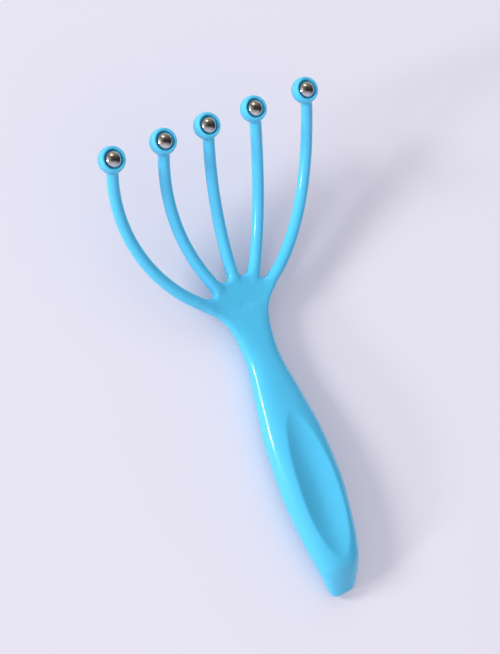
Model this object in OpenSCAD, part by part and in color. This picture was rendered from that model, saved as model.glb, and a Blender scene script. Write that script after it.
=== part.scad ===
// Scalp massager brush: one moulded frame (handle, neck, palm, five fingers with
// ball sockets) and five steel balls that turn in the sockets.
// +Y runs from the heel of the handle to the fingertips, +Z is the side the balls
// face, z = 0 is the table the brush lies on, x = 0 is the middle of the handle.

/* [Overall] */
// Length from the heel of the handle to the tops of the sockets
overall_len = 205; // [196:1:214]

/* [Handle] */
// Widest part of the grip
belly_w = 28; // [25:0.5:31]
// Height of the grip at its thickest
belly_h = 17.4; // [15.5:0.1:19]
// Width of the waist between grip and palm
neck_w = 14.8; // [13.5:0.1:17]
// Height of the waist
neck_h = 12.4; // [11.5:0.1:13]
// Width of the blunt heel, 4 mm in from its end
heel_w = 12.4; // [10:0.1:14]
// Height of the heel, 4 mm in from its end
heel_h = 6.4; // [5:0.1:7.5]

/* [Thumb recess] */
// Deepest point of the recess below the crown of the grip
recess_depth = 3.7; // [2.4:0.1:4.4]
// Greatest width of the recess
recess_w = 17.4; // [14:0.1:18.4]
// Length of the recess
recess_len = 64; // [54:1:68]
// How softly the rim of the recess is eased over
rim_ease = 0.5; // [0.3:0.05:0.9]

/* [Palm and fingers] */
// Height of the palm plate's front face above the table
palm_top = 10.3; // [9.6:0.1:10.8]
// Height of the palm plate's back face above the table
palm_under = 5.6; // [5:0.1:6]
// Diameter of a finger where it leaves the palm
finger_root_d = 5; // [4.6:0.1:5.6]
// Diameter of a finger at its socket
finger_tip_d = 4.7; // [4.2:0.1:5.2]
// Spacing of the two outer sockets, centre to centre
outer_spread = 89.6; // [84:0.2:94]
// Spacing of the two inner sockets, centre to centre
inner_spread = 42; // [39:0.2:46]
// Height of the middle socket's centre above the table
middle_rise = 32.8; // [30:0.1:36]
// How much higher the inner sockets stand than the middle one
inner_cup = 1.8; // [0:0.1:3]
// How much higher the outer sockets stand than the middle one
outer_cup = 3.8; // [0:0.1:5]

/* [Sockets and balls] */
// Outside diameter of a socket
socket_d = 10.8; // [10.4:0.1:12]
// Diameter of a steel ball
ball_d = 7.6; // [7:0.1:7.8]
// Radial running clearance between ball and socket
ball_clearance = 0.06; // [0.04:0.01:0.09]
// How far the ball's centre stands in front of the socket's centre
ball_lift = 0.3; // [0.2:0.05:0.4]

/* [Hidden] */

heel_y = -overall_len / 2;
socket_r = socket_d / 2;
socket_y = overall_len / 2 - socket_r;      // centre line of the row of sockets

// centre of each finger's socket, from -x to +x
SOCKETS = [[-outer_spread / 2, socket_y, middle_rise + outer_cup],
           [-inner_spread / 2, socket_y, middle_rise + inner_cup],
           [0, socket_y, middle_rise],
           [inner_spread / 2, socket_y, middle_rise + inner_cup],
           [outer_spread / 2, socket_y, middle_rise + outer_cup]];
LAST = len(SOCKETS) - 1;
// how many fingers away from the middle one: 0 middle, 1 inner, 2 outer
function rank(k) = abs(k - 2);

// ---------- curves ----------
function bezier(p, t) = pow(1 - t, 3) * p[0] + 3 * pow(1 - t, 2) * t * p[1]
                      + 3 * (1 - t) * t * t * p[2] + t * t * t * p[3];
function unit(v) = v / norm(v);
// eases from 0 at low to 1 at high
function smooth(low, high, x) =
    let (t = min(1, max(0, (x - low) / (high - low))))
    t * t * (3 - 2 * t);

// Smooth curve through rows of [y, values...]. The slope at a row is the harmonic mean
// of the slopes on either side of it, or 0 where the column turns.
function chord_slope(rows, i, col) =
    (rows[i + 1][col] - rows[i][col]) / (rows[i + 1][0] - rows[i][0]);
function row_slope(rows, i, col) =
    i == 0 ? chord_slope(rows, 0, col)
    : i == len(rows) - 1 ? chord_slope(rows, i - 1, col)
    : let (before = chord_slope(rows, i - 1, col), after = chord_slope(rows, i, col))
      before * after <= 0 ? 0 : 2 * before * after / (before + after);
function row_below(rows, y, i = 0) =
    i >= len(rows) - 2 || y < rows[i + 1][0] ? i : row_below(rows, y, i + 1);
function curve_at(rows, y, col) =
    let (i = row_below(rows, y),
         gap = rows[i + 1][0] - rows[i][0],
         t = (y - rows[i][0]) / gap,
         start_slope = row_slope(rows, i, col) * gap,
         end_slope = row_slope(rows, i + 1, col) * gap)
    (2 * pow(t, 3) - 3 * t * t + 1) * rows[i][col]
    + (pow(t, 3) - 2 * t * t + t) * start_slope
    + (3 * t * t - 2 * pow(t, 3)) * rows[i + 1][col]
    + (pow(t, 3) - t * t) * end_slope;

// closed skin over rings with the same even number of points, fanned shut at both ends
module tube_mesh(rings) {
    n = len(rings[0]);
    m = len(rings);
    function middle(ring) = ring[0] / 2 + ring[n / 2] / 2;
    points = concat([for (ring = rings) for (point = ring) point],
                    [middle(rings[0]), middle(rings[m - 1])]);
    faces = concat(
        [for (j = [0:m - 2]) for (i = [0:n - 1]) for (half = [0:1])
            let (here = j * n + i, next = j * n + (i + 1) % n)
            half == 0 ? [here, here + n, next] : [next, here + n, next + n]],
        [for (i = [0:n - 1]) [m * n, i, (i + 1) % n]],
        [for (i = [0:n - 1]) [m * n + 1, (m - 1) * n + (i + 1) % n, (m - 1) * n + i]]);
    polyhedron(points, faces, convexity = 6);
}

// ---------- handle, neck and palm: one skin lofted along Y ----------
palm_end_y = 30;

// Cross-sections: [y, half width, front height, back height, how far up the widest level
// lies, fullness of the back]. A back height below 0 is trimmed to the table plane. The
// flat back reaches past the balance point near y = 0, so the brush lies still on it.
SECTIONS = [
    [heel_y,        heel_w * 0.339,  heel_h - 2,         1,                0.5,   2],
    [heel_y + 1.2,  heel_w * 0.435,  heel_h - 0.9,       0.2,              0.5,   1.95],
    [heel_y + 4,    heel_w * 0.532,  heel_h + 1.1,       -0.1,             0.53,  1.9],
    [heel_y + 9,    heel_w * 0.648,  heel_h + 4.8,       -0.3,             0.565, 1.85],
    [heel_y + 15,   belly_w * 0.341, belly_h - 3,        -0.3,             0.558, 1.95],
    [heel_y + 28,   belly_w * 0.426, belly_h - 1.2,      -0.3,             0.552, 2],
    [heel_y + 49,   belly_w * 0.492, belly_h - 0.2,      -0.3,             0.549, 2.05],
    [heel_y + 68,   belly_w * 0.463, belly_h - 1.2,      -0.3,             0.576, 2.1],
    [heel_y + 87,   belly_w * 0.361, belly_h - 3.1,      -0.4,             0.612, 1.95],
    [heel_y + 106,  neck_w * 0.501,  neck_h,             -0.6,             0.677, 1.6],
    [12,            neck_w * 0.531,  neck_h - 0.8,       0.6,              0.691, 1.85],
    [18.5,          neck_w * 0.628,  palm_top + 0.7,     3.3,              0.61,  2.55],
    [23,            neck_w * 0.77,   palm_top + 0.3,     palm_under - 0.6, 0.52,  3.3],
    [26.5,          14.8,            palm_top,           palm_under - 0.1, 0.5,   3.5],
    [palm_end_y,    19,              palm_top,           palm_under,       0.5,   3.5]];

// leaf-shaped thumb recess: an oval outline that is longer on the finger side of its
// widest point, scooped to a parabola across, with the rim eased over
recess_y = heel_y + 45.5;                   // where the recess is widest
recess_finger_len = recess_len * 0.55;
recess_heel_len = recess_len * 0.45;
function leaf(y) =
    let (q = (y - recess_y) / (y > recess_y ? recess_finger_len : recess_heel_len))
    abs(q) >= 1 ? 0 : pow(1 - q * q, 0.55);
function dish(x, y) =
    let (l = leaf(y), half_w = recess_w / 2 * l)
    l < 0.02 ? 0
    : let (depth = recess_depth * l * l * (1 - x * x / (half_w * half_w)),
           ease = rim_ease * l)
      (depth + sqrt(depth * depth + ease * ease)) / 2;

LOFT_POINTS = 72;                           // points round the loft
// points bunch up at the middle of the front, where the recess is, and of the back
function ring_angle(i) = let (u = i / LOFT_POINTS * 360) u + 16 * sin(2 * u);
function signed_power(v, p) = (v < 0 ? -1 : 1) * pow(abs(v), p);
// superellipse section whose front and back have their own fullness
function section_point(y, i) =
    let (half_w = curve_at(SECTIONS, y, 1),
         front = curve_at(SECTIONS, y, 2),
         back = curve_at(SECTIONS, y, 3),
         widest = back + (front - back) * curve_at(SECTIONS, y, 4),
         flatness = smooth(0, 26, y),       // from the oval grip to the flat palm plate
         a = ring_angle(i),
         fullness = sin(a) > 0 ? 2.35 + 1.4 * flatness : curve_at(SECTIONS, y, 5),
         x = half_w * signed_power(cos(a), 2 / fullness),
         s = signed_power(sin(a), 2 / fullness),
         z = s > 0 ? widest + (front - widest) * s - dish(x, y) * smooth(0, 0.5, s)
                   : widest + (widest - back) * s)
    [x, y, max(0, z)];

// stations bunch up at the heel, where the shape closes quickly
HEEL_STEPS = [0, 0.35, 0.8, 1.4, 2.2, 3.2, 4.4, 6];
heel_zone = HEEL_STEPS[len(HEEL_STEPS) - 1];
EVEN_STEPS = 42;                            // from the heel zone to the end of the palm
STATIONS = concat(
    [for (d = HEEL_STEPS) heel_y + d],
    [for (j = [1:EVEN_STEPS])
        heel_y + heel_zone + j * (palm_end_y - heel_y - heel_zone) / EVEN_STEPS]);

module handle_skin()
    tube_mesh([for (y = STATIONS) [for (i = [LOFT_POINTS:-1:1]) section_point(y, i)]]);

// ---------- fingers ----------
rod_lift = 1.1;         // a finger meets its socket this far in front of the centre
FINGER_STEPS = 22;      // steps along a finger
FINGER_POINTS = 14;     // points round it
finger_end = 0.962;     // share of the path it covers, ending inside the housing

// Bezier centre lines on the +x side, one row per rank:
// [root, first control point, second control point from the socket's centre]
PATHS = [
    [[0, 28, 8.1],     [0, 44.6, 8.5],     [0, -29.4, -20.2]],
    [[4.4, 28, 8.1],   [14.8, 43, 9.8],    [3.2, -29, -21.7]],
    [[7.8, 25.5, 8.1], [32.1, 36.9, 11.5], [3.6, -29.2, -22.8]]];
function to_side(k, v) = [(k < 2 ? -1 : 1) * v[0], v[1], v[2]];
function path(k) =
    let (row = PATHS[rank(k)])
    [to_side(k, row[0]), to_side(k, row[1]),
     SOCKETS[k] + to_side(k, row[2]), SOCKETS[k] + [0, 0, rod_lift]];

function finger_ring(k, j) =
    let (p = path(k),
         t = finger_end * j / FINGER_STEPS,
         centre = bezier(p, t),
         along = unit(bezier(p, min(1, t + 0.01)) - bezier(p, max(0, t - 0.01))),
         side = unit(cross(along, [0, 0, 1])),
         up = cross(side, along),
         r = finger_root_d / 2 + (finger_tip_d - finger_root_d) / 2 * t)
    [for (i = [0:FINGER_POINTS - 1])
        let (a = i * 360 / FINGER_POINTS)
        centre + side * r * cos(a) - up * r * sin(a)];

module finger(k)
    tube_mesh([for (j = [0:FINGER_STEPS]) finger_ring(k, j)]);

// ---------- webs: the plate runs out between the roots and leans with them ----------
web_pivot = [0, 28, 8];
web_lean = 8;                               // degrees, rising towards the fingertips
web_thick = (palm_top - palm_under) * 0.84;
crotch_r = 2.3;                             // rounding between the roots
root_half_w = 2;                            // a little inside the finger
// outline of the web plate without the roots, [x, y]
WEB_OUTLINE = [[-18.6, 29.4], [-14, 25.6], [14, 25.6], [18.6, 29.4], [16, 31.4],
               [11.5, 32.2], [7, 35.4], [-7, 35.4], [-11.5, 32.2], [-16, 31.4]];

// outline of a finger's root seen from the front
module root_plan(k) {
    p = path(k);
    step = rank(k) == 2 ? 0.02 : 0.028;
    // [point, direction] along the start of the path
    line = [for (j = [0:8])
        let (t = step * j, q = bezier(p, t)) [q, unit(bezier(p, t + 0.01) - q)]];
    function edge(e, w) = [e[0][0] - w * e[1][1], e[0][1] + w * e[1][0]];
    polygon(concat([for (e = line) edge(e, root_half_w)],
                   [for (j = [len(line) - 1:-1:0]) edge(line[j], -root_half_w)]));
}

module webs()
    translate(web_pivot) rotate([web_lean, 0, 0])
        translate([0, -web_pivot[1], -web_thick / 2])
            linear_extrude(height = web_thick)
                offset(r = -crotch_r, $fn = 24) offset(delta = crotch_r)
                    union() {
                        polygon(WEB_OUTLINE);
                        for (k = [0:LAST]) root_plan(k);
                    }

// ---------- sockets ----------
eps = 0.01;
cavity_r = ball_d / 2 + ball_clearance;
lip_t = 0.55;                               // radius of the rounded lip
lip_z = 2.1;                                // its centre circle above the socket's centre
lip_ring_r = sqrt(pow(socket_r - lip_t + 0.02, 2) - lip_z * lip_z);  // that circle's radius
mouth_r = lip_ring_r - lip_t + 0.04;
ledge_z = lip_z - 0.5;                      // the ring that holds the ball, in the mouth
profile_box = 20;                           // larger than the socket, to trim its profile

module at_socket(k) translate(SOCKETS[k]) children();

// a sphere cut off flat in front, the cut edge closed by a rounded lip
module housing()
    rotate_extrude($fn = 96) intersection() {
        union() {
            intersection() {
                circle(r = socket_r, $fn = 96);
                translate([0, -profile_box]) square([profile_box, profile_box + lip_z + 0.2]);
            }
            translate([lip_ring_r, lip_z]) circle(r = lip_t, $fn = 48);
            intersection() {
                circle(r = norm([lip_ring_r, lip_z]) + lip_t - eps, $fn = 96);
                translate([0, -1]) square([lip_ring_r, 1 + lip_z + lip_t * 0.5]);
            }
        }
        translate([0, -profile_box]) square([profile_box, 2 * profile_box]);
    }

module socket_hollow() {
    translate([0, 0, ball_lift]) sphere(r = cavity_r, $fn = 96);
    translate([0, 0, ledge_z]) cylinder(r = mouth_r, h = 3, $fn = 96);
}

// ---------- frame ----------
// shallow ejector-pin mark in the middle of the palm
mark_d = 5;
mark_depth = 0.14;
mark_y = 24.4;

// the zero resize keeps every size
module frame_body()
    resize([0, 0, 0]) union() {
        handle_skin();
        webs();
        for (k = [0:LAST]) finger(k);
    }

module frame()
    color([0.30, 0.73, 0.90]) difference() {
        union() {
            frame_body();
            for (k = [0:LAST]) at_socket(k) housing();
        }
        for (k = [0:LAST]) at_socket(k) socket_hollow();
        translate([0, mark_y, palm_top - mark_depth]) cylinder(d = mark_d, h = 2, $fn = 48);
    }

// ---------- balls ----------
module ball(k)
    color([0.72, 0.72, 0.74]) at_socket(k)
        translate([0, 0, ball_lift]) sphere(d = ball_d, $fn = 96);

module ball_1() ball(0);
module ball_2() ball(1);
module ball_3() ball(2);
module ball_4() ball(3);
module ball_5() ball(4);

frame();
ball_1();
ball_2();
ball_3();
ball_4();
ball_5();
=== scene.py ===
# A moulded plastic frame with a handle, a palm and five curved fingers, each of which holds a
# steel ball in a socket at its tip. It lies on the table: x runs across, y from the handle's
# heel to the fingertips, z up. The fingers curve upwards and their sockets open upwards.
import bpy
import math
import numpy as np
from mathutils import Matrix, Vector


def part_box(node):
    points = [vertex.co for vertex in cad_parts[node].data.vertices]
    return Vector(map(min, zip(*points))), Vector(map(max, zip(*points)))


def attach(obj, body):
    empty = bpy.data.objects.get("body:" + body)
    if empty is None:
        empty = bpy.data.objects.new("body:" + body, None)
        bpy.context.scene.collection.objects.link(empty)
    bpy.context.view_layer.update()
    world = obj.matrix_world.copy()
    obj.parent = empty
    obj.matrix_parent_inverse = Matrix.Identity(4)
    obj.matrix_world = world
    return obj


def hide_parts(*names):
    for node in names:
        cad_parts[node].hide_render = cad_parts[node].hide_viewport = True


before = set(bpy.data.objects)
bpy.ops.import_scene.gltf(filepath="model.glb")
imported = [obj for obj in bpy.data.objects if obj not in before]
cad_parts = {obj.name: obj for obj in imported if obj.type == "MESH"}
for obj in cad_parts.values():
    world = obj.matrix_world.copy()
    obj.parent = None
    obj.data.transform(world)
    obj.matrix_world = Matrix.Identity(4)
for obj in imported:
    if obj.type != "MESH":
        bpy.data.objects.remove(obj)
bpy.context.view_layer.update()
MM = 0.001

# ------------------------------------------------------------------ sizes, in mm
frame_low, frame_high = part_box("frame")
HEEL_Y, TIP_Y = frame_low.y / MM, frame_high.y / MM
BALL_BOXES = [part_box("ball_%d" % k) for k in range(1, 6)]
BALL_R = (BALL_BOXES[2][1].x - BALL_BOXES[2][0].x) / 2 / MM
BALL_LIFT = 0.3                                # of a ball's centre above its socket's
SOCKETS = [np.array((low + high) / 2) / MM - np.array([0, 0, BALL_LIFT])
           for low, high in BALL_BOXES]
SOCKET_R = TIP_Y - SOCKETS[2][1]
CAVITY_R = BALL_R + 0.06
LIP_T = 0.55                                   # radius of the rounded lip of a socket's mouth
LIP_Z = 2.1
LIP_R = math.sqrt((SOCKET_R - LIP_T + 0.02) ** 2 - LIP_Z ** 2)
MOUTH_R = LIP_R - LIP_T + 0.04
LEDGE_Z = LIP_Z - 0.34

BELLY_W, BELLY_H = 28.0, 17.4
NECK_W, NECK_H = 14.8, 12.4
HEEL_W, HEEL_H = 12.4, 6.4
PALM_TOP, PALM_UNDER = 10.3, 5.6
PALM_END_Y = 30

# leaf-shaped recess in the handle's top
RECESS_DEPTH, RECESS_W, RECESS_LEN, RIM_EASE = 3.7, 17.4, 64.0, 0.5
RECESS_Y = HEEL_Y + 45.5                       # its widest place

# cross-sections of handle, waist and palm: y, half width, height of the top, height of the
# underside, how far up the widest level lies, fullness of the underside
SECTIONS = np.array([
    [HEEL_Y,       HEEL_W * 0.339,  HEEL_H - 2.0,   1.0,              0.50,  2.0],
    [HEEL_Y + 1.2, HEEL_W * 0.435,  HEEL_H - 0.9,   0.2,              0.50,  1.95],
    [HEEL_Y + 4,   HEEL_W * 0.532,  HEEL_H + 1.1,   -0.1,             0.53,  1.9],
    [HEEL_Y + 9,   HEEL_W * 0.648,  HEEL_H + 4.8,   -0.3,             0.565, 1.85],
    [HEEL_Y + 15,  BELLY_W * 0.341, BELLY_H - 3,    -0.3,             0.558, 1.95],
    [HEEL_Y + 28,  BELLY_W * 0.426, BELLY_H - 1.2,  -0.3,             0.552, 2.0],
    [HEEL_Y + 49,  BELLY_W * 0.492, BELLY_H - 0.2,  -0.3,             0.549, 2.05],
    [HEEL_Y + 68,  BELLY_W * 0.463, BELLY_H - 1.2,  -0.3,             0.576, 2.1],
    [HEEL_Y + 87,  BELLY_W * 0.361, BELLY_H - 3.1,  -0.4,             0.612, 1.95],
    [HEEL_Y + 106, NECK_W * 0.501,  NECK_H,         -0.6,             0.677, 1.6],
    [12,           NECK_W * 0.531,  NECK_H - 0.8,   0.6,              0.691, 1.85],
    [18.5,         NECK_W * 0.628,  PALM_TOP + 0.7, 3.3,              0.61,  2.55],
    [23,           NECK_W * 0.80,   PALM_TOP + 0.3, PALM_UNDER - 0.6, 0.52,  3.3],
    [26.5,         15.3,            PALM_TOP,       PALM_UNDER - 0.1, 0.5,   3.5],
    [PALM_END_Y,   19,              PALM_TOP,       PALM_UNDER,       0.5,   3.5]])

# Bezier centre lines of the middle finger, its neighbours and the outer ones (on the +x side):
# root point, second point, third point from the socket's centre
FINGER_CURVES = [
    ((0, 28, 8.1),     (0, 44.6, 8.5),     (0, -29.4, -20.2)),
    ((4.4, 28, 8.1),   (14.8, 43, 9.8),    (3.2, -29, -21.7)),
    ((7.8, 25.5, 8.1), (32.1, 36.9, 11.5), (3.6, -29.2, -22.8))]
ROD_LIFT = 1.1                                 # of a finger's end above the socket's centre
ROOT_R, TIP_R = 2.5, 2.35
ROD_START = [0.05, 0.09, 0.12, 0.09, 0.05]     # curve parameter where a rod leaves the palm
ROD_SINK = [1.2, 0.5, 0.3, 0.5, 1.2]           # and how far it is sunk into it there
ROD_END = 0.962

OUT_OF_REACH = 9.0                             # distance given where a part is not worked out


# ------------------------------------------------------------------ blending and sections
def smoothstep(start, end, value):
    part = np.clip((value - start) / (end - start), 0, 1)
    return part * part * (3 - 2 * part)


def soft_min(first, second, width):
    near = np.maximum(width - np.abs(first - second), 0) / width
    return np.minimum(first, second) - near * near * width * 0.25


def soft_max(first, second, width):
    return -soft_min(-first, -second, width)


def section_at(y):
    """All value columns of the section table at y, with harmonic-mean slopes."""
    rows_y, values = SECTIONS[:, 0], SECTIONS[:, 1:]
    secant = np.diff(values, axis=0) / np.diff(rows_y)[:, None]
    slope = np.zeros_like(values)
    slope[0], slope[-1] = secant[0], secant[-1]
    before, after = secant[:-1], secant[1:]
    same = before * after > 0
    slope[1:-1] = np.where(same, 2 * before * after / np.where(same, before + after, 1), 0)
    row = np.clip(np.searchsorted(rows_y, y, side="right") - 1, 0, len(rows_y) - 2)
    span = (rows_y[row + 1] - rows_y[row])[:, None]
    part = (y - rows_y[row])[:, None] / span
    return ((2 * part**3 - 3 * part**2 + 1) * values[row]
            + (part**3 - 2 * part**2 + part) * slope[row] * span
            + (3 * part**2 - 2 * part**3) * values[row + 1]
            + (part**3 - part**2) * slope[row + 1] * span)


# ------------------------------------------------------------------ distance to the handle
def recess_depth(x, y):
    reach = RECESS_LEN * np.where(y > RECESS_Y, 0.55, 0.45)
    along = (y - RECESS_Y) / reach
    leaf = np.where(np.abs(along) < 1, np.maximum(1 - along * along, 0) ** 0.55, 0)
    half = np.maximum(RECESS_W / 2 * leaf, 0.05)
    depth = RECESS_DEPTH * leaf * leaf * (1 - x * x / (half * half))
    depth = np.maximum(depth, -4)
    ease = RIM_EASE * leaf
    return np.where(leaf > 0.02, (depth + np.sqrt(depth * depth + ease * ease)) / 2, 0)


def handle_distance(points):
    """Superelliptic cross-sections along y, cut at the table, the heel and the palm's end."""
    x, y, z = points.T
    near_y = np.clip(y, HEEL_Y, PALM_END_Y)
    half, top, under, rise, fullness = section_at(near_y).T
    mid = under + (top - under) * rise
    upper = z > mid
    height = np.where(upper, top - mid, mid - under)
    power = np.where(upper, 2.35 + 1.4 * smoothstep(0, 26, near_y), fullness)
    rel_x = np.abs(x) / half
    crown = np.maximum(1 - np.minimum(rel_x, 1) ** power, 0) ** (1 / power)
    fade = smoothstep(0, 0.5, crown)
    raised = z + recess_depth(x, near_y) * fade * smoothstep(-0.2, 0.3, (z - mid) / height)
    rel_z = np.abs(raised - mid) / height
    radius = np.maximum(rel_x**power + rel_z**power, 1e-6) ** (1 / power)
    slope_x = (rel_x / radius) ** (power - 1) / half
    slope_z = (rel_z / radius) ** (power - 1) / height
    dist = (radius - 1) / np.maximum(np.hypot(slope_x, slope_z), 1e-3)
    dist = soft_max(dist, -z, 0.8)
    dist = soft_max(dist, HEEL_Y - y, 1.2)
    return soft_max(dist, y - 25.5, 2.5)


# ------------------------------------------------------------------ distance to the fingers
def bezier(ctrl, along):
    along = along[:, None]
    rest = 1 - along
    return (rest**3 * ctrl[0] + 3 * rest**2 * along * ctrl[1]
            + 3 * rest * along * along * ctrl[2] + along**3 * ctrl[3])


def finger_path(k):
    root, second, third = FINGER_CURVES[abs(k - 2)]
    x, y, z = SOCKETS[k]
    socket = np.array([abs(x), y, z])
    path = np.array([root, second, socket + third, socket + (0, 0, ROD_LIFT)])
    path[:, 0] *= np.sign(k - 2)
    return path


PATHS = [finger_path(k) for k in range(5)]


def rod_distance(points, k):
    """Distance to finger k: from the nearest point of its centre line, less the radius there."""
    path, start = PATHS[k], ROD_START[k]
    tries = start + (ROD_END - start) * np.linspace(0, 1, 23)
    line = bezier(path, tries)
    near = ((points >= line.min(0) - 6) & (points <= line.max(0) + 6)).all(1)
    dist = np.full(len(points), OUT_OF_REACH)
    if not near.any():
        return dist
    close = points[near]
    along = tries[((line * line).sum(1)[None] - 2 * close @ line.T).argmin(1)]
    first, second = 3 * np.diff(path, axis=0), 6 * np.diff(path, 2, axis=0)
    for _ in range(3):                         # Newton steps to the nearest point
        part = along[:, None]
        speed = ((1 - part)**2 * first[0] + 2 * (1 - part) * part * first[1]
                 + part * part * first[2])
        bend = (1 - part) * second[0] + part * second[1]
        gap = bezier(path, along) - close
        speed_sq = (speed * speed).sum(1)
        curvature = np.maximum(speed_sq + (gap * bend).sum(1), 0.3 * speed_sq)
        along = np.clip(along - (gap * speed).sum(1) / curvature, start, ROD_END)
    radius = ROOT_R + (TIP_R - ROOT_R) * along
    radius = radius * (0.55 + 0.45 * smoothstep(start - 0.02, start + 0.055, along))
    centre = bezier(path, along)
    centre[:, 2] -= ROD_SINK[k] * (1 - smoothstep(start, start + 0.15, along))
    dist[near] = np.linalg.norm(close - centre, axis=1) - radius
    return dist


# ------------------------------------------------------------------ distance to palm and webs
# the palm's outline (x, y): the waist's flank, then the edge between the fingers, and mirrored
FLANK_Y = np.linspace(14, 26.6, 10)
FLANK = np.column_stack([section_at(FLANK_Y)[:, 0], FLANK_Y])
FINGER_EDGE = np.array([[16, 31.4], [11.5, 32.2], [7, 36.3]])
HALF_PALM = np.concatenate([FLANK, FINGER_EDGE])
PALM = np.concatenate([HALF_PALM, (HALF_PALM * [-1, 1])[::-1]])

WEB_STEP = 0.2                                 # spacing of the grid of distances
WEB_X = np.arange(-30, 30.01, WEB_STEP)
WEB_Y = np.arange(10, 50.01, WEB_STEP)
SIDE_CROTCH_R, MID_CROTCH_R, SWEEP_R = 2.2, 2.6, 13.0


def segment_distance(x, y, start, end):
    """Distance to a straight line in plan, and how far along it the nearest point lies."""
    edge = end - start
    part = ((x - start[0]) * edge[0] + (y - start[1]) * edge[1]) / (edge @ edge)
    part = np.clip(part, 0, 1)
    return np.hypot(x - start[0] - part * edge[0], y - start[1] - part * edge[1]), part


def polygon_distance(x, y, outline):
    dist = np.full(len(x), 1e9)
    inside = np.zeros(len(x), bool)
    for start, end in zip(outline, np.roll(outline, -1, axis=0)):
        dist = np.minimum(dist, segment_distance(x, y, start, end)[0])
        rise = end[1] - start[1]
        cross = (end[0] - start[0]) * (y - start[1]) / (rise if rise else 1e-9) + start[0]
        inside ^= ((start[1] > y) != (end[1] > y)) & (x < cross)
    return np.where(inside, -dist, dist)


def close_corners(dist, radius):
    """The grid of distances with inner corners rounded: grown by radius, then shrunk back."""
    grown = dist - radius
    origin = np.array([WEB_X[0], WEB_Y[0]])
    contour = []
    for axis in (0, 1):
        first = grown[:-1] if axis == 0 else grown[:, :-1]
        second = grown[1:] if axis == 0 else grown[:, 1:]
        crossed = (first < 0) != (second < 0)
        first, second = first[crossed], second[crossed]
        places = np.argwhere(crossed).astype(float)
        places[:, axis] += first / (first - second)
        contour.append(places * WEB_STEP + origin)
    contour = np.concatenate(contour)
    x, y = [v.ravel() for v in np.meshgrid(WEB_X, WEB_Y, indexing="ij")]
    nearest = np.empty(len(x))
    for s in range(0, len(x), 4000):
        gap_x = x[s:s + 4000, None] - contour[None, :, 0]
        gap_y = y[s:s + 4000, None] - contour[None, :, 1]
        nearest[s:s + 4000] = np.sqrt((gap_x * gap_x + gap_y * gap_y).min(1))
    nearest = nearest.reshape(dist.shape)
    return np.where(grown < 0, radius - nearest, radius + nearest)


def plan_of_webs():
    """Outline of palm and finger roots seen from above, with every inner corner closed to a
    round crotch, and a long sweep from waist to outer finger: a grid of distances."""
    grid_x, grid_y = np.meshgrid(WEB_X, WEB_Y, indexing="ij")
    x, y = grid_x.ravel(), grid_y.ravel()
    dist = polygon_distance(x, y, PALM)
    for k in range(5):
        reach, half = (0.17, 1.65) if k in (0, 4) else (0.225, 2.3)
        line = bezier(PATHS[k], np.linspace(0, reach, 10))[:, :2]
        for i, (start, end) in enumerate(zip(line[:-1], line[1:])):
            gap, part = segment_distance(x, y, start, end)
            dist = np.minimum(dist, gap - half + 0.11 * (i + part))
    dist = dist.reshape(grid_x.shape)
    line = bezier(PATHS[4], np.linspace(0, 0.6, 60))
    outside = grid_y < np.interp(np.abs(grid_x), line[:, 0], line[:, 1])
    inner = 1 - smoothstep(7, 11, np.abs(grid_x))
    crotch = (close_corners(dist, SIDE_CROTCH_R) * (1 - inner)
              + close_corners(dist, MID_CROTCH_R) * inner)
    return np.where(outside, close_corners(dist, SWEEP_R), crotch)


WEBS = plan_of_webs()


def plate_distance(points):
    """The palm's part next to the fingers and the webs between their roots."""
    x, y, z = points.T
    col = np.clip((x - WEB_X[0]) / WEB_STEP, 0, len(WEB_X) - 1.001)
    row = np.clip((y - WEB_Y[0]) / WEB_STEP, 0, len(WEB_Y) - 1.001)
    i, j = col.astype(int), row.astype(int)
    part_x, part_y = col - i, row - j
    dist = ((WEBS[i, j] * (1 - part_x) + WEBS[i + 1, j] * part_x) * (1 - part_y)
            + (WEBS[i, j + 1] * (1 - part_x) + WEBS[i + 1, j + 1] * part_x) * part_y)
    # the plate rises towards the fingers and towards its sides, and thins out
    past = y - 29.5
    lean = (0.14 * 0.5 * (past + np.sqrt(past * past + 9))
            + 0.006 * np.maximum(np.abs(x) - 6, 0)**2)
    mid, half = (PALM_TOP + PALM_UNDER) / 2, (PALM_TOP - PALM_UNDER) / 2
    level = np.abs(z - mid - np.minimum(lean, 3)) - (half - 0.38 * smoothstep(29, 35, y))
    return soft_max(dist, level, 2.0)


# ------------------------------------------------------------------ the whole frame's surface
def add_sockets(points, dist):
    """Joins the socket shells on, then cuts the pockets that the collars line."""
    offsets = [points - c for c in SOCKETS]
    for offset in offsets:
        dist = soft_min(dist, np.linalg.norm(offset, axis=1) - SOCKET_R, 0.9)
    for offset in offsets:
        near = np.linalg.norm(offset, axis=1) < SOCKET_R + 3
        offset = offset[near]
        pocket = SOCKET_R - 1.15 - np.linalg.norm(offset - [0, 0, BALL_LIFT], axis=1)
        shell = soft_max(dist[near], pocket, 0.3)
        dist[near] = soft_max(shell, offset[:, 2] - 0.9, 0.3)
    return dist


def field(points):
    """Signed distance to the moulding, each part worked out only where it can matter."""
    points = np.asarray(points, float)
    x, y = points[:, 0], points[:, 1]
    in_web = np.abs(x) < 29.5
    dist = np.full(len(points), OUT_OF_REACH)
    zone = y < 40
    if zone.any():
        dist[zone] = handle_distance(points[zone])
    zone = (y > 12) & (y < 40) & in_web
    if zone.any():
        dist[zone] = soft_min(dist[zone], plate_distance(points[zone]), 0.5)
    zone = (y >= 40) & (y < 49) & in_web
    if zone.any():
        dist[zone] = np.minimum(dist[zone], plate_distance(points[zone]))
    zone = y > 24
    if zone.any():
        joined = dist[zone]
        blend = 0.9 + 1.0 * (1 - smoothstep(31, 44, y[zone]))
        for k in range(5):
            joined = soft_min(joined, rod_distance(points[zone], k), blend)
        dist[zone] = joined
    zone = y > TIP_Y - 18
    if zone.any():
        dist[zone] = add_sockets(points[zone], dist[zone])
    return dist


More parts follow.
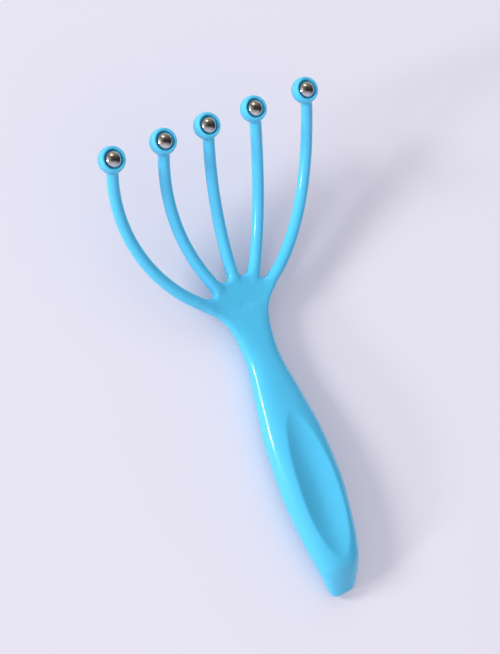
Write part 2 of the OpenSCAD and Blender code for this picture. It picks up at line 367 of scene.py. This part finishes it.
def value_and_gradient(points, step=0.03):
    value = field(points)
    gradient = np.empty_like(points)
    for i in range(3):
        shift = np.zeros(3)
        shift[i] = step
        gradient[:, i] = (field(points + shift) - value) / step
    return value, gradient


# ------------------------------------------------------------------ meshing
COARSE = 4                                     # fine cells along a coarse cell's edge
CORNERS = np.array([[i >> 2 & 1, i >> 1 & 1, i & 1] for i in range(8)])


def sample_field(low, high, cell):
    """Field values on a grid; away from the surface only their sign."""
    count = np.ceil((high - low) / (cell * COARSE)).astype(int)
    centres = [low[i] + (np.arange(count[i]) + 0.5) * cell * COARSE for i in range(3)]
    coarse = field(np.stack(np.meshgrid(*centres, indexing="ij"), -1).reshape(-1, 3))
    near = (np.abs(coarse) < cell * COARSE * 1.35).reshape(count)
    grid = np.where(coarse < 0, -1.0, 1.0).astype(np.float32).reshape(count)
    for axis in range(3):
        grid = np.repeat(grid, COARSE, axis)
    inner = np.stack(np.meshgrid(*[np.arange(COARSE)] * 3, indexing="ij"), -1).reshape(-1, 3)
    nodes = (np.argwhere(near)[:, None, :] * COARSE + inner[None]).reshape(-1, 3)
    values = np.empty(len(nodes), np.float32)
    batch = 400000
    for s in range(0, len(nodes), batch):
        values[s:s + batch] = field(low + nodes[s:s + batch] * cell)
    grid[tuple(nodes.T)] = values
    return grid


def surface_nets(cell):
    """A closed quad mesh of the field's zero surface on a grid of that spacing."""
    low = np.array([-51.5, HEEL_Y - 1.6, -1.6])
    high = np.array([51.5, TIP_Y + 1.6, 43.5])
    grid = sample_field(low, high, cell)
    inside = grid < 0
    size = np.array(grid.shape)

    # one vertex in each cell with mixed corners, at the mean of its edges' crossings
    count = np.zeros(tuple(size - 1), np.uint8)
    for i, j, k in CORNERS:
        count += inside[i:size[0] - 1 + i, j:size[1] - 1 + j, k:size[2] - 1 + k]
    cells = np.argwhere((count > 0) & (count < 8))
    index = np.full(tuple(size - 1), -1, np.int32)
    index[tuple(cells.T)] = np.arange(len(cells))
    values = np.stack([grid[tuple((cells + c).T)] for c in CORNERS], 1).astype(float)
    total = np.zeros((len(cells), 3))
    crossings = np.zeros(len(cells))
    for i in range(8):
        for j in range(i + 1, 8):
            if np.abs(CORNERS[i] - CORNERS[j]).sum() != 1:
                continue
            cut = (values[:, i] < 0) != (values[:, j] < 0)
            part = values[cut, i] / (values[cut, i] - values[cut, j])
            total[cut] += CORNERS[i] + part[:, None] * (CORNERS[j] - CORNERS[i])
            crossings[cut] += 1
    verts = low + (cells + total / crossings[:, None]) * cell

    # one quad around each grid edge that crosses the surface
    quads = []
    for axis in range(3):
        across = [i for i in range(3) if i != axis]
        before = inside.take(np.arange(size[axis] - 1), axis)
        after = inside.take(np.arange(1, size[axis]), axis)
        edges = np.argwhere(before != after)
        spots = edges[:, across]
        edges = edges[((spots > 0) & (spots < size[across] - 1)).all(1)]
        corners = []
        for shift in ((-1, -1), (0, -1), (0, 0), (-1, 0)):
            around = edges.copy()
            around[:, across] += shift
            corners.append(index[tuple(around.T)])
        quad = np.stack(corners, 1)
        starts_inside = before[tuple(edges.T)]
        turn = starts_inside if axis == 1 else ~starts_inside
        quad[turn] = quad[turn][:, ::-1]
        quads.append(quad)
    quads = np.concatenate(quads)
    return verts, quads[(quads >= 0).all(1)]


def relax(verts, quads, rounds):
    """Evens the quads out along the surface, then puts every vertex back on it."""
    start = quads.T.ravel()
    end = np.roll(quads, -1, axis=1).T.ravel()
    count = len(verts)
    links = np.bincount(start, minlength=count) + np.bincount(end, minlength=count)
    for r in range(rounds):
        if r:
            total = np.zeros_like(verts)
            for i in range(3):
                total[:, i] = (np.bincount(start, verts[end, i], count)
                               + np.bincount(end, verts[start, i], count))
            verts = verts + 0.5 * (total / links[:, None] - verts)
        for _ in range(2 if r in (0, rounds - 1) else 1):
            value, grad = value_and_gradient(verts)
            move = -(value / np.maximum((grad * grad).sum(1), 0.05))[:, None] * grad
            length = np.linalg.norm(move, axis=1)
            limit = np.minimum(length, 0.3) / np.maximum(length, 1e-9)
            verts = verts + move * limit[:, None]
    return verts


def ejector_mark(verts):
    """A faint round ejector-pin mark in the middle of the palm."""
    mark_y, radius, depth = 24.4, 2.5, 0.09
    away = np.hypot(verts[:, 0], verts[:, 1] - mark_y)
    near = (verts[:, 2] > PALM_TOP - 2) & (away < radius + 1)
    verts[near, 2] -= depth * (1 - smoothstep(radius - 0.25, radius + 0.25, away[near]))
    return verts


# ------------------------------------------------------------------ socket collars
def arc(centre_r, centre_z, radius, start, end, count):
    angles = np.radians(np.linspace(start, end, count))
    return [(centre_r + radius * math.cos(a), centre_z + radius * math.sin(a)) for a in angles]


def rounded(points, radius):
    """A profile's corners replaced by small arcs, so that light runs over them."""
    out = [points[0]]
    for before, corner, after in zip(points[:-2], points[1:-1], points[2:]):
        corner = np.array(corner)
        back, ahead = np.array(before) - corner, np.array(after) - corner
        back_len, ahead_len = np.linalg.norm(back), np.linalg.norm(ahead)
        back, ahead = back / back_len, ahead / ahead_len
        turn = math.degrees(math.acos(max(-1, min(1, -float(back @ ahead)))))
        if turn < 25:
            out.append(tuple(corner))
            continue
        cut = min(radius, back_len * 0.45, ahead_len * 0.45)
        for part in np.linspace(0, 1, 6):
            out.append(tuple((1 - part)**2 * (corner + back * cut)
                             + 2 * part * (1 - part) * corner
                             + part * part * (corner + ahead * cut)))
    out.append(points[-1])
    return out


def collar_profile():
    """Half section of the lining that carries a socket's mouth: radius, height."""
    hidden_r = SOCKET_R - 0.8                  # this part lies inside the moulding
    low = -1.2
    hidden_end = math.degrees(math.asin((low - BALL_LIFT) / hidden_r))
    hidden = arc(0, BALL_LIFT, hidden_r, -90, hidden_end, 14)
    tangent = math.degrees(math.atan2(LIP_Z, LIP_R))
    outer = []
    for angle in np.linspace(math.degrees(math.asin(low / SOCKET_R)), tangent, 16):
        angle = math.radians(angle)
        height = SOCKET_R * math.sin(angle)
        # runs out under the moulding's skin
        radius = SOCKET_R + 0.008 - 0.03 * (1 - smoothstep(-1.2, -0.3, height))
        outer.append((radius * math.cos(angle), radius * math.sin(angle)))
    lip = arc(LIP_R, LIP_Z, LIP_T, tangent, 168, 16)[1:]
    ledge = math.degrees(math.asin((LEDGE_Z - BALL_LIFT) / CAVITY_R))
    cavity = arc(0, BALL_LIFT, CAVITY_R, ledge, -90, 26)
    mouth = [(MOUTH_R, LIP_Z + 0.05), (MOUTH_R, LEDGE_Z)]
    edge = rounded([lip[-1]] + mouth + cavity[:2], 0.11)
    profile = hidden + outer + lip[:-1] + edge[:-1] + cavity[1:]
    return [(max(radius, 0.0), height) for radius, height in profile]


def collar(centre, around=96):
    points, rings = [], []
    for radius, height in collar_profile():
        if radius < 1e-6:
            rings.append([len(points)] * around)
            points.append((0, 0, height))
        else:
            rings.append(list(range(len(points), len(points) + around)))
            for i in range(around):
                angle = 2 * math.pi * i / around
                points.append((radius * math.cos(angle), radius * math.sin(angle), height))
    faces = []
    for ring, after in zip(rings[:-1], rings[1:]):
        for i in range(around):
            j = (i + 1) % around
            face = list(dict.fromkeys([ring[i], ring[j], after[j], after[i]]))
            if len(face) > 2:
                faces.append(face)
    return np.array(points) + centre, faces


def build_frame():
    skin, quads = surface_nets(0.36)
    skin = ejector_mark(relax(skin, quads, rounds=3))
    skin[:, 1] = np.clip(skin[:, 1], HEEL_Y, TIP_Y)
    skin[:, 2] = np.maximum(skin[:, 2], 0)
    verts, loops, sizes, count = [skin], [quads.ravel()], [np.full(len(quads), 4)], len(skin)
    for centre in SOCKETS:
        points, faces = collar(centre)
        points[:, 1] = np.minimum(points[:, 1], TIP_Y)
        verts.append(points)
        loops.append(np.array([v for face in faces for v in face]) + count)
        sizes.append(np.array([len(face) for face in faces]))
        count += len(points)
    verts, loops, sizes = [np.concatenate(parts) for parts in (verts, loops, sizes)]
    mesh = bpy.data.meshes.new("moulded_frame")
    mesh.vertices.add(len(verts))
    mesh.vertices.foreach_set("co", (verts * MM).astype(np.float32).ravel())
    mesh.loops.add(len(loops))
    mesh.loops.foreach_set("vertex_index", loops.astype(np.int32))
    mesh.polygons.add(len(sizes))
    mesh.polygons.foreach_set("loop_start", (np.cumsum(sizes) - sizes).astype(np.int32))
    mesh.polygons.foreach_set("use_smooth", np.ones(len(sizes), bool))
    mesh.update(calc_edges=True)
    mesh.validate()
    obj = bpy.data.objects.new("moulded_frame", mesh)
    bpy.context.scene.collection.objects.link(obj)
    return obj


# ------------------------------------------------------------------ shader nodes
def node(tree, kind, **settings):
    """A new node; each setting is an input's value or else a property."""
    new = tree.nodes.new(kind)
    for name, value in settings.items():
        if name in new.inputs.keys():
            new.inputs[name].default_value = value
        else:
            setattr(new, name, value)
    return new


def new_material(name):
    """Returns the material, its node tree, its shader and the object coordinates."""
    mat = bpy.data.materials.new(name)
    mat.use_nodes = True
    tree = mat.node_tree
    tree.nodes.clear()
    out = node(tree, "ShaderNodeOutputMaterial")
    shader = node(tree, "ShaderNodeBsdfPrincipled")
    tree.links.new(shader.outputs[0], out.inputs[0])
    return mat, tree, shader, node(tree, "ShaderNodeTexCoord").outputs["Object"]


def calc(tree, operation, first, second, clamp=False):
    new = node(tree, "ShaderNodeMath", operation=operation, use_clamp=clamp)
    for socket, value in zip(new.inputs, (first, second)):
        if isinstance(value, (int, float)):
            socket.default_value = value
        else:
            tree.links.new(value, socket)
    return new.outputs[0]


def scaled(tree, value, gain):
    return calc(tree, "MULTIPLY", value, gain)


def mapped(tree, place, **settings):
    new = node(tree, "ShaderNodeMapping", **settings)
    tree.links.new(place, new.inputs[0])
    return new.outputs[0]


def noise(tree, place, scale, detail=2.0, rough=0.5, distortion=0.0):
    new = node(tree, "ShaderNodeTexNoise", Scale=scale, Detail=detail, Roughness=rough,
               Distortion=distortion)
    tree.links.new(place, new.inputs["Vector"])
    return new.outputs[0]


def ramp(tree, value, stops):
    """Colour ramp; stops are (position, (red, green, blue))."""
    new = node(tree, "ShaderNodeValToRGB")
    elements = new.color_ramp.elements
    elements.remove(elements[-1])
    elements[0].position = stops[0][0]
    elements[0].color = (*stops[0][1], 1)
    for position, colour in stops[1:]:
        elements.new(position).color = (*colour, 1)
    tree.links.new(value, new.inputs[0])
    return new.outputs[0]


def mix_colours(tree, blend, factor, first, second):
    new = node(tree, "ShaderNodeMix", data_type="RGBA", blend_type=blend, Factor=factor)
    tree.links.new(first, new.inputs[6])
    tree.links.new(second, new.inputs[7])
    return new.outputs[2]


def add_bump(tree, shader, height, strength, distance):
    new = node(tree, "ShaderNodeBump", Strength=strength, Distance=distance)
    tree.links.new(height, new.inputs["Height"])
    tree.links.new(new.outputs[0], shader.inputs["Normal"])


# ------------------------------------------------------------------ materials
def plastic():
    mat, tree, shader, place = new_material("cyan_moulded_plastic")
    # colour: the pigment drifts very slightly along the flow of the melt
    flow = mapped(tree, place, Scale=(1, 0.35, 1))
    drift = noise(tree, flow, scale=38, detail=3, rough=0.55, distortion=0.6)
    cloud = noise(tree, place, scale=16)
    pigment = calc(tree, "ADD", scaled(tree, drift, 0.5), scaled(tree, cloud, 0.5))
    base = ramp(tree, pigment, [(0.32, (0.074, 0.487, 0.752)), (0.68, (0.087, 0.531, 0.810))])
    # painted shade: the colour darkens where ambient occlusion finds the recess, the crotches and
    # the socket mouths
    ao_painted_shade = node(tree, "ShaderNodeAmbientOcclusion", Distance=0.0025, samples=8)
    shade = ramp(tree, ao_painted_shade.outputs["AO"], [(0.08, (0.60, 0.74, 0.76)), (0.62, (1, 1, 1))])
    # the painted shade is multiplied into the pigment
    colour = mix_colours(tree, "MULTIPLY", factor=0.85, first=base, second=shade)
    tree.links.new(colour, shader.inputs["Base Color"])
    # gloss: a polished mould, slightly duller where it is handled
    grain = noise(tree, place, scale=520, detail=3, rough=0.6)
    worn = noise(tree, place, scale=70, detail=3, rough=0.6)
    rough = calc(tree, "ADD", scaled(tree, worn, 0.10), 0.135)
    rough = calc(tree, "ADD", rough, scaled(tree, grain, 0.04), clamp=True)
    tree.links.new(rough, shader.inputs["Roughness"])
    # surface: the long, soft ripple of a thick moulding under a fine orange peel
    ripple = noise(tree, flow, scale=55, detail=1, rough=0.4)
    peel = noise(tree, place, scale=1100)
    height = calc(tree, "ADD", ripple, scaled(tree, peel, 0.03))
    add_bump(tree, shader, height, strength=0.30, distance=0.00012)
    shader.inputs["IOR"].default_value = 1.5
    shader.inputs["Subsurface Weight"].default_value = 0.15
    shader.inputs["Subsurface Radius"].default_value = (0.3, 0.8, 1.0)
    shader.inputs["Subsurface Scale"].default_value = 0.0014
    return mat


def steel():
    mat, tree, shader, place = new_material("polished_ball_steel")
    tint = noise(tree, place, scale=420, detail=3, rough=0.6)
    colour = ramp(tree, tint, [(0.3, (0.58, 0.565, 0.555)), (0.7, (0.67, 0.655, 0.645))])
    tree.links.new(colour, shader.inputs["Base Color"])
    shader.inputs["Metallic"].default_value = 1
    # lapping marks: fine arcs in several directions
    marks = None
    for turn in ((0.3, 0.9, 0.2), (1.4, 0.2, 0.8), (0.7, 1.9, 1.3)):
        streaks = noise(tree, mapped(tree, place, Rotation=turn, Scale=(7000, 380, 380)), scale=1)
        lines = ramp(tree, streaks, [(0.62, (0, 0, 0)), (0.72, (1, 1, 1))])
        marks = lines if marks is None else calc(tree, "MAXIMUM", marks, lines)
    haze = noise(tree, place, scale=900, detail=3, rough=0.6)
    rough = calc(tree, "ADD", scaled(tree, haze, 0.10), 0.09)
    rough = calc(tree, "ADD", rough, scaled(tree, marks, 0.06))
    tree.links.new(rough, shader.inputs["Roughness"])
    pits = noise(tree, place, scale=2600)
    height = calc(tree, "SUBTRACT", scaled(tree, pits, 0.5), scaled(tree, marks, 0.6))
    add_bump(tree, shader, height, strength=0.10, distance=0.00002)
    return mat


def pale_table():
    mat, tree, shader, place = new_material("pale_table")
    cloud = noise(tree, place, scale=3, detail=3)
    colour = ramp(tree, cloud, [(0.35, (0.775, 0.745, 0.825)), (0.65, (0.795, 0.765, 0.845))])
    tree.links.new(colour, shader.inputs["Base Color"])
    shader.inputs["Roughness"].default_value = 0.85
    shader.inputs["Specular IOR Level"].default_value = 0.15
    grain = noise(tree, place, scale=900, detail=3, rough=0.6)
    add_bump(tree, shader, grain, strength=0.1, distance=0.0001)
    return mat


# ------------------------------------------------------------------ the product
PLASTIC = plastic()
STEEL = steel()

body = build_frame()
body.data.materials.append(PLASTIC)
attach(body, "frame")
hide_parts("frame")

for k in range(1, 6):
    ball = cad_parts["ball_%d" % k].data
    ball.materials.clear()
    ball.materials.append(STEEL)
    for face in ball.polygons:
        face.use_smooth = True

# ------------------------------------------------------------------ table
scene = bpy.context.scene
HALF_TABLE = 12.0                              # metres
table_mesh = bpy.data.meshes.new("table_top")
table_mesh.from_pydata([(x * HALF_TABLE, y * HALF_TABLE, 0)
                        for x, y in ((-1, -1), (1, -1), (1, 1), (-1, 1))], [], [(0, 1, 2, 3)])
table = bpy.data.objects.new("table_top", table_mesh)
table_mesh.materials.append(pale_table())
scene.collection.objects.link(table)

# ------------------------------------------------------------------ camera
# it looks down from above, swung towards -x by the azimuth and towards +y by the elevation
AZIMUTH, ELEVATION, ROLL = [math.radians(a) for a in (26.65, 5.48, 20.42)]
CAMERA_DIST = 719.8                            # mm
TARGET = Vector((-0.118, 15.42, 7.4)) * MM
back = Vector((-math.sin(AZIMUTH) * math.cos(ELEVATION), math.sin(ELEVATION),
               math.cos(AZIMUTH) * math.cos(ELEVATION)))
right = Vector((0, 1, 0)).cross(back).normalized()
up = back.cross(right)
cam_right = right * math.cos(ROLL) - up * math.sin(ROLL)
cam_up = right * math.sin(ROLL) + up * math.cos(ROLL)
lens = bpy.data.cameras.new("camera")
camera = bpy.data.objects.new("camera", lens)
scene.collection.objects.link(camera)
pose = Matrix((cam_right, cam_up, back)).transposed().to_4x4()
pose.translation = TARGET + back * CAMERA_DIST * MM
camera.matrix_world = pose
lens.sensor_width = 36
lens.lens = 97.62865
lens.clip_start, lens.clip_end = 0.05, 10
scene.camera = camera
scene.view_settings.view_transform = "Standard"
scene.view_settings.look = "None"


# ------------------------------------------------------------------ soft studio light
def facing(tree, view, direction):
    """Cosine between the view direction and a fixed one."""
    new = node(tree, "ShaderNodeVectorMath", operation="DOT_PRODUCT")
    tree.links.new(view, new.inputs[0])
    new.inputs[1].default_value = tuple(direction)
    return new.outputs["Value"]


def studio_world():
    world = bpy.data.worlds.new("studio")
    world.use_nodes = True
    scene.world = world
    tree = world.node_tree
    tree.nodes.clear()
    out = node(tree, "ShaderNodeOutputWorld")
    soft = node(tree, "ShaderNodeBackground", Color=(0.82, 0.84, 0.92, 1), Strength=0.785)
    # what polished things mirror, from the camera's up to its down direction: a warm wall,
    # a dark room, a pale table edge
    view = node(tree, "ShaderNodeTexCoord").outputs["Generated"]
    side = calc(tree, "ADD", scaled(tree, facing(tree, view, -cam_up), 0.5), 0.5)
    walls = ramp(tree, side, [
        (0.02, (0.42, 0.33, 0.25)), (0.22, (0.12, 0.10, 0.09)), (0.42, (0.035, 0.03, 0.032)),
        (0.60, (0.04, 0.038, 0.045)), (0.74, (0.40, 0.38, 0.46)), (0.92, (0.78, 0.75, 0.88))])
    # and a glow on the lamps' side
    glow = facing(tree, view, Vector((-0.90, 0.34, 0.27)).normalized())
    halo = ramp(tree, glow, [(0.50, (0, 0, 0)), (0.78, (0.15, 0.12, 0.10)),
                             (0.93, (0.42, 0.37, 0.32)), (0.985, (0.95, 0.91, 0.86))])
    room = node(tree, "ShaderNodeBackground")
    tree.links.new(mix_colours(tree, "ADD", factor=1.0, first=walls, second=halo), room.inputs[0])
    # light that a matt surface gathers by way of a ball still comes from the soft studio
    ray = node(tree, "ShaderNodeLightPath").outputs
    chosen = node(tree, "ShaderNodeMixShader")
    direct = calc(tree, "LESS_THAN", ray["Diffuse Depth"], 0.5)
    mirrored = calc(tree, "MULTIPLY", ray["Is Glossy Ray"], direct)
    for source, socket in zip((mirrored, soft.outputs[0], room.outputs[0]), chosen.inputs):
        tree.links.new(source, socket)
    tree.links.new(chosen.outputs[0], out.inputs[0])


LAMP_SPREAD = 3.3  # lamps stand this much farther off, and larger, to light the table evenly


def lamp(name, direction, dist, size, power, colour):
    """A disk lamp in that direction; metres and watts before the spread."""
    light = bpy.data.lights.new(name, "AREA")
    light.energy = power * LAMP_SPREAD ** 2
    light.color = colour
    light.shape = "DISK"
    light.size = size * LAMP_SPREAD
    obj = bpy.data.objects.new(name, light)
    toward = Vector(direction).normalized()
    obj.location = Vector((0, 0.01, 0.015)) + toward * (dist * LAMP_SPREAD)
    obj.rotation_mode = "QUATERNION"
    obj.rotation_quaternion = (-toward).to_track_quat("-Z", "Y")
    scene.collection.objects.link(obj)
    return obj


studio_world()
key = lamp("key", direction=(-0.76, 0.52, 0.39), dist=1.5, size=0.34, power=14.0,
           colour=(1.0, 0.985, 0.955))
key.visible_glossy = False
lamp("strip", direction=(-0.965, 0.10, 0.242), dist=1.5, size=0.17, power=7.5,
     colour=(1.0, 0.99, 0.97))
lamp("fill", direction=(0.02, 0.83, 0.555), dist=1.3, size=0.62, power=1.7,
     colour=(1.0, 0.88, 0.74))
